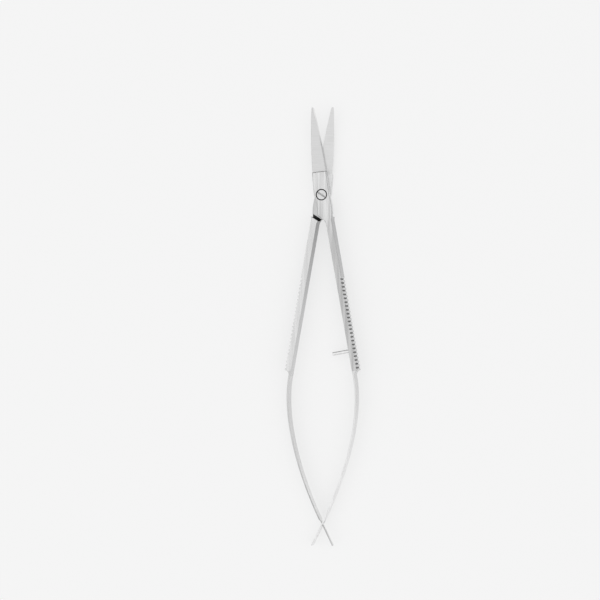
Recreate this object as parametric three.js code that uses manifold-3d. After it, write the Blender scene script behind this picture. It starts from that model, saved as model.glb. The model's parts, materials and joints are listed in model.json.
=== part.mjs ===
// Eyebrow scissors of the self-opening kind: two crossed steel halves on a slotted pivot screw.
// Serrated pads on the arms are squeezed to shut the blades, and two spring leaves open them again.
// The tail of the rear leaf is a tongue that passes through a slot in the tail of the front leaf.
// Millimetres, +Z up. The scissors lie flat and open, with the blade tips towards +Y.
// Every size below is given about the pivot axis, with z = 0 on the plane where the halves lap.
import * as THREE from 'three';
import { mergeVertices } from 'three/addons/utils/BufferGeometryUtils.js';
import Module from 'manifold-3d';

const wasm = await Module();
wasm.setup();

// Blade
const BLADE_LENGTH = 23;
const TIP_OFFSET = 2.6;
const TIP_WIDTH = 0.5;
const TIP_ROUNDING = 0.25;
const SPINE_BULGE = 0.8;
const EDGE_BELLY = 0.75;
const SHOULDER_FROM_PIVOT = 5.9;
const BLADE_ROOT_THICKNESS = 1.1;
const BLADE_TIP_THICKNESS = 0.7;
const GRIND_SLOPE = 12;
const BEVEL_WIDTH = 0.25;
const EDGE_LAND = 0.12;
const SPINE_CHAMFER = 0.1;
const GROOVE_WIDTH = 0.22;
const GROOVE_DEPTH = 0.16;
const BLADE_STATIONS = 12;

// Lap joint
const JOINT_HALF_WIDTH = 2;
const JOINT_THICKNESS = 1.85;
const LAP_CLEARANCE = 0.06;
const JOINT_FLARE = 3;
const JOINT_HOLLOW = 0.95;
const HEEL_OFFSET = 1;
const HEEL_DROP = 5.35;
const CROTCH_OFFSET = 0.1;
const CROTCH_DROP = 6.3;
const CROTCH_ROUNDING = 1.2;
const LAP_SHOULDER_ANGLE = 33;
const RELIEF_WIDTH = 0.7;
const RELIEF_DEPTH = 0.5;
const JOINT_RAMP = 4;

// Pivot screw
const SCREW_HEAD_RADIUS = 1.25;
const SCREW_HEAD_HEIGHT = 0.65;
const SCREW_HEAD_CHAMFER = 0.15;
const SCREW_SHANK_RADIUS = 0.9;
const SCREW_SLOT_WIDTH = 0.4;
const SCREW_SLOT_DEPTH = 0.35;
const SCREW_SLOT_ANGLE = -34;
const SCREW_CLEARANCE = 0.05;
const RECESS_DEPTH = 0.75;
const RECESS_CLEARANCE = 0.25;

// Arm and serrated pad
const ARM_ROOT_X = 1.12;
const ARM_ROOT_Y = -6.75;
const ARM_ANGLE = 10.1;
const ARM_LENGTH = 39.9;
const ARM_THICKNESS = 1.6;
const ARM_DEPTH = 4.4;
const TOOTH_COUNT = 24;
const TOOTH_PITCH = 1.02;
const TOOTH_DEPTH = 0.42;
const TOOTH_CREST = 0.3;
const PAD_RUNOUT = 0.6;

// Spring leaf
const LEAF_THICKNESS = 0.42;
const TAIL_THICKNESS = 0.32;
const LEAF_STUB = 1.3;
const LEAF_STEP_FILLET = 0.5;
const FLEX_GAP = 0.3;
const LEAF_ROOT_DEPTH = 4.2;
const LEAF_TAIL_DEPTH = 3;
const CROSSING_FROM_PIVOT = 86.2;
const CROSSING_HALF_ANGLE = 26;
const LEAF_ROOT_HANDLE = 9;
const LEAF_TAIL_HANDLE = 18;
const TAIL_LENGTH = 6.2;
const LEAF_STATIONS = 28;

// Tail slot and tongue
const TONGUE_DEPTH = 1.2;
const SLOT_SIDE_CLEARANCE = 0.25;
const SLOT_LENGTH = 4.4;
const SLOT_CORNER = 0.3;
const CROSSING_CLEARANCE = 1.1;

// Stop pin
const STOP_ANGLE = 13.5;
const STOP_CLEARANCE = 0.05;
const PIN_FROM_PAD_END = 5.3;
const PIN_RADIUS = 0.5;
const PIN_SEAT_DEPTH = 0.9;
const PIN_CHAMFER = 0.1;
const PIN_CLEARANCE = 0.05;

// Facets of a full turn and margin by which a cutter runs past what it cuts
const ROUND_SEGMENTS = 40;
const CUT_MARGIN = 1;

// Steel of each kind of piece
const FORGED_STEEL = { color: 0xc9cac9, roughness: 0.3, metalness: 1 };
const SPRING_STEEL = { color: 0xcfd0cf, roughness: 0.25, metalness: 1 };
const SCREW_STEEL = { color: 0xbfc0bf, roughness: 0.25, metalness: 1 };
const PIN_STEEL = { color: 0xd6d7d6, roughness: 0.2, metalness: 1 };

const LAP_FACE = LAP_CLEARANCE / 2;
const JOINT_FACE = LAP_FACE + JOINT_THICKNESS;
const ARM_FACE = ARM_DEPTH / 2;
const PIN_ALONG_ARM = ARM_LENGTH - PIN_FROM_PAD_END;
const bladeLean = Math.atan2(TIP_OFFSET, BLADE_LENGTH);
const grindSlope = THREE.MathUtils.degToRad(GRIND_SLOPE);
const armAngle = THREE.MathUtils.degToRad(ARM_ANGLE);
const armRoot = new THREE.Vector2(ARM_ROOT_X, ARM_ROOT_Y);
const armAlong = new THREE.Vector2(Math.sin(armAngle), -Math.cos(armAngle));
const armOut = new THREE.Vector2(Math.cos(armAngle), Math.sin(armAngle));
const crossingAngle = THREE.MathUtils.degToRad(CROSSING_HALF_ANGLE);
const tailAlong = new THREE.Vector2(-Math.sin(crossingAngle), -Math.cos(crossingAngle));
const crossing = new THREE.Vector2(0, -CROSSING_FROM_PIVOT);

// A closed geometry as a solid that can be joined and cut
function solid(geometry) {
  geometry.deleteAttribute('normal');
  geometry.deleteAttribute('uv');
  const merged = mergeVertices(geometry);
  const vertProperties = new Float32Array(merged.attributes.position.array);
  const triVerts = new Uint32Array(merged.index.array);
  return new wasm.Manifold(new wasm.Mesh({ numProp: 3, vertProperties, triVerts }));
}

// A named mesh of a finished solid, with its own steel
function piece(name, body, steel) {
  const mesh = body.getMesh();
  const geometry = new THREE.BufferGeometry();
  geometry.setAttribute('position', new THREE.BufferAttribute(mesh.vertProperties, 3));
  geometry.setIndex(new THREE.BufferAttribute(mesh.triVerts, 1));
  geometry.computeVertexNormals();
  const result = new THREE.Mesh(geometry, new THREE.MeshStandardMaterial(steel));
  result.name = name;
  return result;
}

// A plan outline raised from one height to another
function raised(shape, low, high) {
  const geometry = new THREE.ExtrudeGeometry(shape, { depth: high - low, bevelEnabled: false });
  return solid(geometry.translate(0, 0, low));
}

// A side outline, drawn as (y, z), run across the scissors from -reach to +reach in x
function across(shape, reach) {
  const geometry = new THREE.ExtrudeGeometry(shape, { depth: 2 * reach, bevelEnabled: false });
  const toSide = new THREE.Matrix4().set(0, 0, 1, -reach, 1, 0, 0, 0, 0, 1, 0, 0, 0, 0, 0, 1);
  return solid(geometry.applyMatrix4(toSide));
}

// An upright cylinder between two heights on the pivot axis
function pivotCylinder(radius, low, high) {
  const geometry = new THREE.CylinderGeometry(radius, radius, high - low, ROUND_SEGMENTS);
  return solid(geometry.rotateX(Math.PI / 2).translate(0, 0, (low + high) / 2));
}

// A closed skin over a row of sections with equal point counts
function loft(sections) {
  const count = sections[0].length;
  const last = sections.length - 1;
  const index = [];
  for (let s = 0; s < last; s += 1) {
    for (let i = 0; i < count; i += 1) {
      const a = s * count + i;
      const b = s * count + ((i + 1) % count);
      index.push(a, a + count, b, b, a + count, b + count);
    }
  }
  for (let i = 1; i < count - 1; i += 1) {
    index.push(0, i, i + 1);
    index.push(last * count, last * count + i + 1, last * count + i);
  }
  const geometry = new THREE.BufferGeometry().setFromPoints(sections.flat());
  return solid(geometry.setIndex(index));
}

// A point on the front half's arm, by distance along it and out from its inner face
function onArm(along, out) {
  return armRoot.clone().addScaledVector(armAlong, along).addScaledVector(armOut, out);
}

// The blade's back and cutting edge, as x for a height y above the pivot
function bladeCurve(tipX, bow, jointX, y) {
  const t = 1 - y / BLADE_LENGTH;
  const control = (tipX + jointX) / 2 + bow;
  return (1 - t) ** 2 * tipX + 2 * (1 - t) * t * control + t ** 2 * jointX;
}

function spineX(y) {
  return bladeCurve(-TIP_OFFSET - TIP_WIDTH / 2, -SPINE_BULGE, -JOINT_HALF_WIDTH, y);
}

function edgeX(y) {
  return bladeCurve(-TIP_OFFSET + TIP_WIDTH / 2, EDGE_BELLY, JOINT_HALF_WIDTH, y);
}

// Height of the blade's ground outer face, which thins to the tip and falls from the back to the edge
function groundFace(x, y) {
  const thinning = (y - SHOULDER_FROM_PIVOT) / (BLADE_LENGTH - SHOULDER_FROM_PIVOT);
  const middle = LAP_FACE + THREE.MathUtils.lerp(BLADE_ROOT_THICKNESS, BLADE_TIP_THICKNESS, thinning);
  return middle - (x + y * Math.tan(bladeLean)) * Math.tan(grindSlope);
}

// One cross-section of the ground blade: flat lap side, bevel to the edge, chamfered back
function bladeSection(y) {
  const rounding = Math.max(0, y - (BLADE_LENGTH - TIP_ROUNDING)) / 2;
  const spine = spineX(y) + rounding;
  const edge = edgeX(y) - rounding;
  const bevel = Math.min(BEVEL_WIDTH, (edge - spine) / 2);
  const chamfer = Math.min(SPINE_CHAMFER, (edge - spine) / 4);
  const outline = [
    [spine, LAP_FACE],
    [edge, LAP_FACE],
    [edge, LAP_FACE + EDGE_LAND],
    [edge - bevel, groundFace(edge - bevel, y)],
    [spine + chamfer, groundFace(spine + chamfer, y)],
    [spine, groundFace(spine, y) - chamfer],
  ];
  return outline.map(([x, z]) => new THREE.Vector3(x, y, z));
}

function blade() {
  const start = SHOULDER_FROM_PIVOT - CUT_MARGIN;
  const straightEnd = BLADE_LENGTH - TIP_ROUNDING;
  const sections = [];
  for (let i = 0; i <= BLADE_STATIONS; i += 1) {
    sections.push(bladeSection(THREE.MathUtils.lerp(start, straightEnd, i / BLADE_STATIONS)));
  }
  sections.push(bladeSection(BLADE_LENGTH));
  return loft(sections);
}

// A block that leans and slopes as the ground blade does, from its shoulder towards the tip
function beyondShoulder(length, low, high) {
  const geometry = new THREE.BoxGeometry(BLADE_LENGTH, length, high - low);
  geometry.translate(0, SHOULDER_FROM_PIVOT + length / 2, (low + high) / 2);
  return solid(geometry.rotateY(grindSlope).rotateZ(bladeLean));
}

// Plan outline of the joint and arm, with the teeth of the pad on the arm's outer face
function armOutline() {
  const top = SHOULDER_FROM_PIVOT + CUT_MARGIN;
  const padStart = ARM_LENGTH - TOOTH_COUNT * TOOTH_PITCH;
  const flank = (TOOTH_PITCH - TOOTH_CREST) / 2;
  const outerRoot = onArm(0, ARM_THICKNESS);
  const stubOuter = onArm(ARM_LENGTH + LEAF_STUB, LEAF_THICKNESS);
  const stubInner = onArm(ARM_LENGTH + LEAF_STUB, 0);
  const padEnd = onArm(ARM_LENGTH, ARM_THICKNESS);
  const filletStart = onArm(ARM_LENGTH + PAD_RUNOUT / 2, (ARM_THICKNESS + LEAF_THICKNESS) / 2);
  const filletCorner = onArm(ARM_LENGTH + PAD_RUNOUT, LEAF_THICKNESS);
  const filletEnd = onArm(ARM_LENGTH + PAD_RUNOUT + LEAF_STEP_FILLET, LEAF_THICKNESS);
  const crotchEnd = onArm(CROTCH_ROUNDING, 0);
  const shape = new THREE.Shape();
  shape.moveTo(edgeX(top), top);
  shape.lineTo(edgeX(top / 2), top / 2);
  shape.lineTo(JOINT_HALF_WIDTH, 0);
  shape.quadraticCurveTo(JOINT_FLARE, outerRoot.y / 2, outerRoot.x, outerRoot.y);
  for (let tooth = 0; tooth < TOOTH_COUNT; tooth += 1) {
    const from = padStart + tooth * TOOTH_PITCH;
    for (const [along, depth] of [[0, 0], [flank, TOOTH_DEPTH], [2 * flank, 0]]) {
      const point = onArm(from + along, ARM_THICKNESS - depth);
      shape.lineTo(point.x, point.y);
    }
  }
  shape.lineTo(padEnd.x, padEnd.y);
  shape.lineTo(filletStart.x, filletStart.y);
  shape.quadraticCurveTo(filletCorner.x, filletCorner.y, filletEnd.x, filletEnd.y);
  shape.lineTo(stubOuter.x, stubOuter.y);
  shape.lineTo(stubInner.x, stubInner.y);
  shape.lineTo(crotchEnd.x, crotchEnd.y);
  shape.quadraticCurveTo(armRoot.x, armRoot.y, CROTCH_OFFSET, -CROTCH_DROP);
  shape.lineTo(-HEEL_OFFSET, -HEEL_DROP);
  shape.quadraticCurveTo(-JOINT_HOLLOW, -HEEL_DROP / 2, -JOINT_HALF_WIDTH, 0);
  shape.lineTo(spineX(top / 2), top / 2);
  shape.lineTo(spineX(top), top);
  return shape;
}

// Side outline of the joint and arm: full depth in the arm, falling to the joint's own face
function armSide() {
  const top = SHOULDER_FROM_PIVOT + 2 * CUT_MARGIN;
  const bottom = stubEnd().y - CUT_MARGIN;
  const rampTop = ARM_ROOT_Y + JOINT_RAMP / 2;
  const rampBottom = ARM_ROOT_Y - JOINT_RAMP / 2;
  const shape = new THREE.Shape();
  shape.moveTo(bottom, -ARM_FACE);
  shape.lineTo(top, -ARM_FACE);
  shape.lineTo(top, JOINT_FACE);
  shape.lineTo(rampTop, JOINT_FACE);
  shape.bezierCurveTo(ARM_ROOT_Y, JOINT_FACE, ARM_ROOT_Y, ARM_FACE, rampBottom, ARM_FACE);
  shape.lineTo(bottom, ARM_FACE);
  return shape;
}

function stubEnd() {
  return onArm(ARM_LENGTH + LEAF_STUB, 0);
}

// A strip along the sloping shoulder that starts the full-depth arm, from behind the lap up to a height
function alongShoulder(width, high) {
  const angle = THREE.MathUtils.degToRad(LAP_SHOULDER_ANGLE);
  const rise = width / Math.cos(angle);
  const run = BLADE_LENGTH;
  const fall = run * Math.tan(angle);
  const shape = new THREE.Shape();
  shape.moveTo(armRoot.x - run, armRoot.y - fall);
  shape.lineTo(armRoot.x + run, armRoot.y + fall);
  shape.lineTo(armRoot.x + run, armRoot.y + fall + rise);
  shape.lineTo(armRoot.x - run, armRoot.y - fall + rise);
  return raised(shape, -ARM_FACE - CUT_MARGIN, high);
}

// One half without its leaf: blade, lap joint, arm and pad, bored for the screw's shank
function half() {
  const width = onArm(ARM_LENGTH, ARM_THICKNESS).x + CUT_MARGIN;
  const arm = raised(armOutline(), -ARM_FACE, ARM_FACE).intersect(across(armSide(), width));
  const lap = alongShoulder(2 * BLADE_LENGTH, LAP_FACE);
  const relief = alongShoulder(RELIEF_WIDTH, LAP_FACE + RELIEF_DEPTH);
  const bladeRoom = beyondShoulder(BLADE_LENGTH, -ARM_DEPTH, ARM_DEPTH);
  const joint = arm.subtract(lap).subtract(relief).subtract(bladeRoom);
  const groove = beyondShoulder(GROOVE_WIDTH, LAP_FACE + BLADE_ROOT_THICKNESS - GROOVE_DEPTH, ARM_DEPTH);
  const bore = pivotCylinder(SCREW_SHANK_RADIUS + SCREW_CLEARANCE, -ARM_DEPTH, ARM_DEPTH);
  return joint.add(blade()).subtract(groove).subtract(bore);
}

// Turn a geometry made along +Y to lie along the stop pin, from its seat in the arm to its free end
function alongPin(geometry) {
  const seat = onArm(PIN_ALONG_ARM, PIN_SEAT_DEPTH);
  return geometry.rotateZ(Math.PI / 2 + armAngle).translate(seat.x, seat.y, 0);
}

// Free length of the pin that leaves the stop clearance to the other arm at the stop angle
function pinFreeLength() {
  const turn = THREE.MathUtils.degToRad(STOP_ANGLE) / 2;
  const centre = new THREE.Vector2();
  const base = onArm(PIN_ALONG_ARM, 0).rotateAround(centre, -turn);
  const root = armRoot.clone().rotateAround(centre, -turn);
  const lean = armAngle - turn;
  const gap = (base.x + root.x) * Math.cos(lean) - (base.y - root.y) * Math.sin(lean);
  return (gap - PIN_RADIUS * Math.sin(2 * lean)) / Math.cos(2 * lean) - STOP_CLEARANCE;
}

function stopPin() {
  const length = PIN_SEAT_DEPTH + pinFreeLength();
  const profile = [
    new THREE.Vector2(0, 0),
    new THREE.Vector2(PIN_RADIUS, 0),
    new THREE.Vector2(PIN_RADIUS, length - PIN_CHAMFER),
    new THREE.Vector2(PIN_RADIUS - PIN_CHAMFER, length),
    new THREE.Vector2(0, length),
  ];
  return solid(alongPin(new THREE.LatheGeometry(profile, ROUND_SEGMENTS / 2)));
}

// Blind seat for the pin in the arm's inner face
function pinSeat() {
  const length = PIN_SEAT_DEPTH + CUT_MARGIN;
  const radius = PIN_RADIUS + PIN_CLEARANCE;
  const geometry = new THREE.CylinderGeometry(radius, radius, length, ROUND_SEGMENTS / 2);
  return solid(alongPin(geometry.translate(0, length / 2 - PIN_CLEARANCE, 0)));
}

// Sunk seat for the screw's head in the front half
function headRecess() {
  return pivotCylinder(SCREW_HEAD_RADIUS + RECESS_CLEARANCE, JOINT_FACE - RECESS_DEPTH, ARM_DEPTH);
}

function pivotScrew() {
  const underHead = JOINT_FACE - RECESS_DEPTH + SCREW_CLEARANCE;
  const headTop = underHead + SCREW_HEAD_HEIGHT;
  const profile = [
    new THREE.Vector2(0, -JOINT_FACE),
    new THREE.Vector2(SCREW_SHANK_RADIUS, -JOINT_FACE),
    new THREE.Vector2(SCREW_SHANK_RADIUS, underHead),
    new THREE.Vector2(SCREW_HEAD_RADIUS, underHead),
    new THREE.Vector2(SCREW_HEAD_RADIUS, headTop - SCREW_HEAD_CHAMFER),
    new THREE.Vector2(SCREW_HEAD_RADIUS - SCREW_HEAD_CHAMFER, headTop),
    new THREE.Vector2(0, headTop),
  ];
  const turned = new THREE.LatheGeometry(profile, ROUND_SEGMENTS).rotateX(Math.PI / 2);
  const slotHeight = SCREW_SLOT_DEPTH + CUT_MARGIN;
  const slot = new THREE.BoxGeometry(2 * (SCREW_HEAD_RADIUS + CUT_MARGIN), SCREW_SLOT_WIDTH, slotHeight);
  slot.translate(0, 0, headTop - SCREW_SLOT_DEPTH + slotHeight / 2);
  slot.rotateZ(THREE.MathUtils.degToRad(SCREW_SLOT_ANGLE));
  return solid(turned).subtract(solid(slot));
}

// Middle line of the front leaf: a bow from the arm's stub to the crossing, then a straight tail
function leafLine() {
  const root = onArm(ARM_LENGTH + LEAF_STUB + FLEX_GAP, LEAF_THICKNESS / 2);
  const rootControl = root.clone().addScaledVector(armAlong, LEAF_ROOT_HANDLE);
  const tailControl = crossing.clone().addScaledVector(tailAlong, -LEAF_TAIL_HANDLE);
  return new THREE.CubicBezierCurve(root, rootControl, tailControl, crossing);
}

function tailEnd() {
  return crossing.clone().addScaledVector(tailAlong, TAIL_LENGTH);
}

// Plan outline of the leaf, half its thickness to each side of the middle line, thinning to the tail
function leafOutline() {
  const line = leafLine();
  const outer = [];
  const inner = [];
  const addPair = (point, tangent, thickness) => {
    const offset = new THREE.Vector2(-tangent.y, tangent.x).multiplyScalar(thickness / 2);
    outer.push(point.clone().add(offset));
    inner.unshift(point.clone().sub(offset));
  };
  for (let i = 0; i <= LEAF_STATIONS; i += 1) {
    const share = i / LEAF_STATIONS;
    const thickness = THREE.MathUtils.lerp(LEAF_THICKNESS, TAIL_THICKNESS, share);
    addPair(line.getPoint(share), line.getTangent(share), thickness);
  }
  addPair(tailEnd(), tailAlong, TAIL_THICKNESS);
  return new THREE.Shape([...outer, ...inner]);
}

// Depth of the leaf at a height y, which tapers from root to crossing
function leafHalfDepth(y) {
  const root = leafLine().getPoint(0).y;
  const share = THREE.MathUtils.clamp((root - y) / (root - crossing.y), 0, 1);
  return THREE.MathUtils.lerp(LEAF_ROOT_DEPTH, LEAF_TAIL_DEPTH, share) / 2;
}

// Side outline of the front leaf, plain to its tail
function plainLeafSide() {
  const top = leafLine().getPoint(0).y + CUT_MARGIN;
  const bottom = tailEnd().y - CUT_MARGIN;
  const shape = new THREE.Shape();
  shape.moveTo(bottom, -LEAF_TAIL_DEPTH / 2);
  shape.lineTo(crossing.y, -LEAF_TAIL_DEPTH / 2);
  shape.lineTo(top, -leafHalfDepth(top));
  shape.lineTo(top, leafHalfDepth(top));
  shape.lineTo(crossing.y, LEAF_TAIL_DEPTH / 2);
  shape.lineTo(bottom, LEAF_TAIL_DEPTH / 2);
  return shape;
}

// Side outline of the rear leaf, which narrows to the tongue just above the crossing
function tonguedLeafSide() {
  const top = leafLine().getPoint(0).y + CUT_MARGIN;
  const bottom = tailEnd().y - CUT_MARGIN;
  const neck = crossing.y + CROSSING_CLEARANCE;
  const shape = new THREE.Shape();
  shape.moveTo(bottom, -TONGUE_DEPTH / 2);
  shape.lineTo(neck, -TONGUE_DEPTH / 2);
  shape.lineTo(neck, -leafHalfDepth(neck));
  shape.lineTo(top, -leafHalfDepth(top));
  shape.lineTo(top, leafHalfDepth(top));
  shape.lineTo(neck, leafHalfDepth(neck));
  shape.lineTo(neck, TONGUE_DEPTH / 2);
  shape.lineTo(bottom, TONGUE_DEPTH / 2);
  return shape;
}

// Slot through the front leaf's tail with rounded corners, wide enough for the tongue
function slotSide() {
  const top = crossing.y + CROSSING_CLEARANCE;
  const bottom = top - SLOT_LENGTH;
  const reach = TONGUE_DEPTH / 2 + SLOT_SIDE_CLEARANCE;
  const shape = new THREE.Shape();
  shape.moveTo(bottom + SLOT_CORNER, -reach);
  shape.lineTo(top - SLOT_CORNER, -reach);
  shape.quadraticCurveTo(top, -reach, top, SLOT_CORNER - reach);
  shape.lineTo(top, reach - SLOT_CORNER);
  shape.quadraticCurveTo(top, reach, top - SLOT_CORNER, reach);
  shape.lineTo(bottom + SLOT_CORNER, reach);
  shape.quadraticCurveTo(bottom, reach, bottom, reach - SLOT_CORNER);
  shape.lineTo(bottom, SLOT_CORNER - reach);
  shape.quadraticCurveTo(bottom, -reach, bottom + SLOT_CORNER, -reach);
  return shape;
}

function leaf(side) {
  const reach = 2 * onArm(ARM_LENGTH, ARM_THICKNESS).x;
  return raised(leafOutline(), -LEAF_ROOT_DEPTH, LEAF_ROOT_DEPTH).intersect(across(side, reach));
}

function slottedLeaf() {
  return leaf(plainLeafSide()).subtract(across(slotSide(), TAIL_LENGTH));
}

// The front half lies as drawn, and the rear half is the same forging turned over about the long axis
const front = new THREE.Group();
front.add(piece('front_half', half().subtract(headRecess()).subtract(pinSeat()), FORGED_STEEL));
front.add(piece('stop_pin', stopPin(), PIN_STEEL));
front.add(piece('front_spring_leaf', slottedLeaf(), SPRING_STEEL));

const rear = new THREE.Group();
rear.rotation.y = Math.PI;
rear.add(piece('rear_half', half(), FORGED_STEEL));
rear.add(piece('rear_spring_leaf', leaf(tonguedLeafSide()), SPRING_STEEL));

// The origin is at the middle of the whole length and width, on the surface that the arms lie on
const group = new THREE.Group();
group.add(front);
group.add(rear);
group.add(piece('pivot_screw', pivotScrew(), SCREW_STEEL));
group.position.set(0, -(BLADE_LENGTH + tailEnd().y) / 2, ARM_FACE);

export default group;
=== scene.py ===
"""Self-opening eyebrow scissors: finish meshes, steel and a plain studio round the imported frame.

Every shape is drawn in millimetres about the pivot axis, with z = 0 on the plane where the two
halves lap, and is then placed in the frame in metres.
"""
import json
import logging
import math
from dataclasses import dataclass, field
from enum import Enum
from typing import Any, Callable, ClassVar, Mapping, Sequence

import bmesh
import bpy
from mathutils import Matrix, Vector


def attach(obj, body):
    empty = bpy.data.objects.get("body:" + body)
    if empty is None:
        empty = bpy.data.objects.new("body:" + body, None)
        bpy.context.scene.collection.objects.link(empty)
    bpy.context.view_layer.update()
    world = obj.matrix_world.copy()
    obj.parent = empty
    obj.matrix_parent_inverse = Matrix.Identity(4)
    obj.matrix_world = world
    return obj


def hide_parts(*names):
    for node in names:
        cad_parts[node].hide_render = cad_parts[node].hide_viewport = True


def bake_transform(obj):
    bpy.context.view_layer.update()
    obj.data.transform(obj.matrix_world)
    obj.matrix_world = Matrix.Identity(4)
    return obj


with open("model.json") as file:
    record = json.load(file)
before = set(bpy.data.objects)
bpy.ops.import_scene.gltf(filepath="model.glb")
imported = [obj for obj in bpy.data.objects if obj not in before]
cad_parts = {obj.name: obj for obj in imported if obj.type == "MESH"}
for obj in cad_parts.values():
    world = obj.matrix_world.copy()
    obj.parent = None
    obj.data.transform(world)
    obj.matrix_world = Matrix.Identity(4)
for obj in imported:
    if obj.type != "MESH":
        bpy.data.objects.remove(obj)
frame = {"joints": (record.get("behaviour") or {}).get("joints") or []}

LOG = logging.getLogger("eyebrow_scissors")
MM = 0.001
FULL_TURN = 2 * math.pi
RIM_STEPS = 4

Point = tuple[float, float]
Place = tuple[float, float, float]


class Cut(Enum):
    """What a second solid does to a first one."""

    AWAY = "DIFFERENCE"
    COMMON = "INTERSECT"


class Side(Enum):
    """Which of the two halves a piece belongs to."""

    FRONT = "front"
    REAR = "rear"


class Zone(Enum):
    """Material index of each finished zone on a half, several of whose finishes paint light or shade."""

    POLISHED = 0
    GROUND = 1
    CRESTS = 2
    VALLEYS = 3
    SPRING = 4
    LEAF_EDGES = 5
    HOLLOWS = 6
    HONED = 7
    LAPS = 8
    EDGES = 9
    WALLS = 10
    RECESS = 11
    FLANKS = 12
    INNER_WALLS = 13


class Wire:
    """A socket whose value can be used in Python arithmetic, each step adding a Math node."""

    def __init__(self, graph: "Graph", socket: bpy.types.NodeSocket) -> None:
        """Wrap an output socket of a graph."""
        self.graph = graph
        self.socket = socket

    def _math(self, operation: str, first: "Wire | float", second: "Wire | float") -> "Wire":
        """Result of one Math node."""
        return self.graph.node("ShaderNodeMath", {"operation": operation}, {0: first, 1: second})["Value"]

    def __add__(self, other: "Wire | float") -> "Wire":
        """Sum."""
        return self._math("ADD", self, other)

    def __radd__(self, other: float) -> "Wire":
        """Sum with a number on the left."""
        return self._math("ADD", other, self)

    def __mul__(self, other: "Wire | float") -> "Wire":
        """Product."""
        return self._math("MULTIPLY", self, other)

    def __rmul__(self, other: float) -> "Wire":
        """Product with a number on the left."""
        return self._math("MULTIPLY", other, self)


class Graph:
    """A node tree that is written as nested calls."""

    def __init__(self, tree: bpy.types.NodeTree) -> None:
        """Start from an empty tree."""
        self.tree = tree
        tree.nodes.clear()

    def node(
        self,
        kind: str,
        settings: Mapping[str, Any] | None = None,
        sockets: Mapping[str | int, Any] | None = None,
    ) -> dict[str, Wire]:
        """Add a node.

        Args:
            kind: Blender's type name of the node.
            settings: Properties of the node, with a ramp's colours under "stops".
            sockets: Values or wires of its inputs, by name or by place.

        Returns:
            The node's outputs, by name.
        """
        node = self.tree.nodes.new(kind)
        for name, value in (settings or {}).items():
            if name == "stops":
                self._set_stops(node.color_ramp, value)
            else:
                setattr(node, name, value)
        for name, value in (sockets or {}).items():
            if isinstance(value, Wire):
                self.tree.links.new(value.socket, node.inputs[name])
            else:
                node.inputs[name].default_value = value
        return {socket.name: Wire(self, socket) for socket in node.outputs}

    @staticmethod
    def _set_stops(ramp: bpy.types.ColorRamp, stops: Sequence[tuple[float, Sequence[float]]]) -> None:
        """Give a ramp its stops.

        Args:
            ramp: The ramp, with two stops of its own at first.
            stops: Pairs of place and colour, two or more.
        """
        while len(ramp.elements) < len(stops):
            ramp.elements.new(1.0)
        for element, (place, colour) in zip(ramp.elements, stops):
            element.position = place
            element.color = colour


@dataclass(frozen=True)
class Fade:
    """Painted light or shade: change of a finish's grey by a factor, between two places along the frame's
    long axis in metres.
    """

    start: float
    end: float
    factor: float


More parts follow.
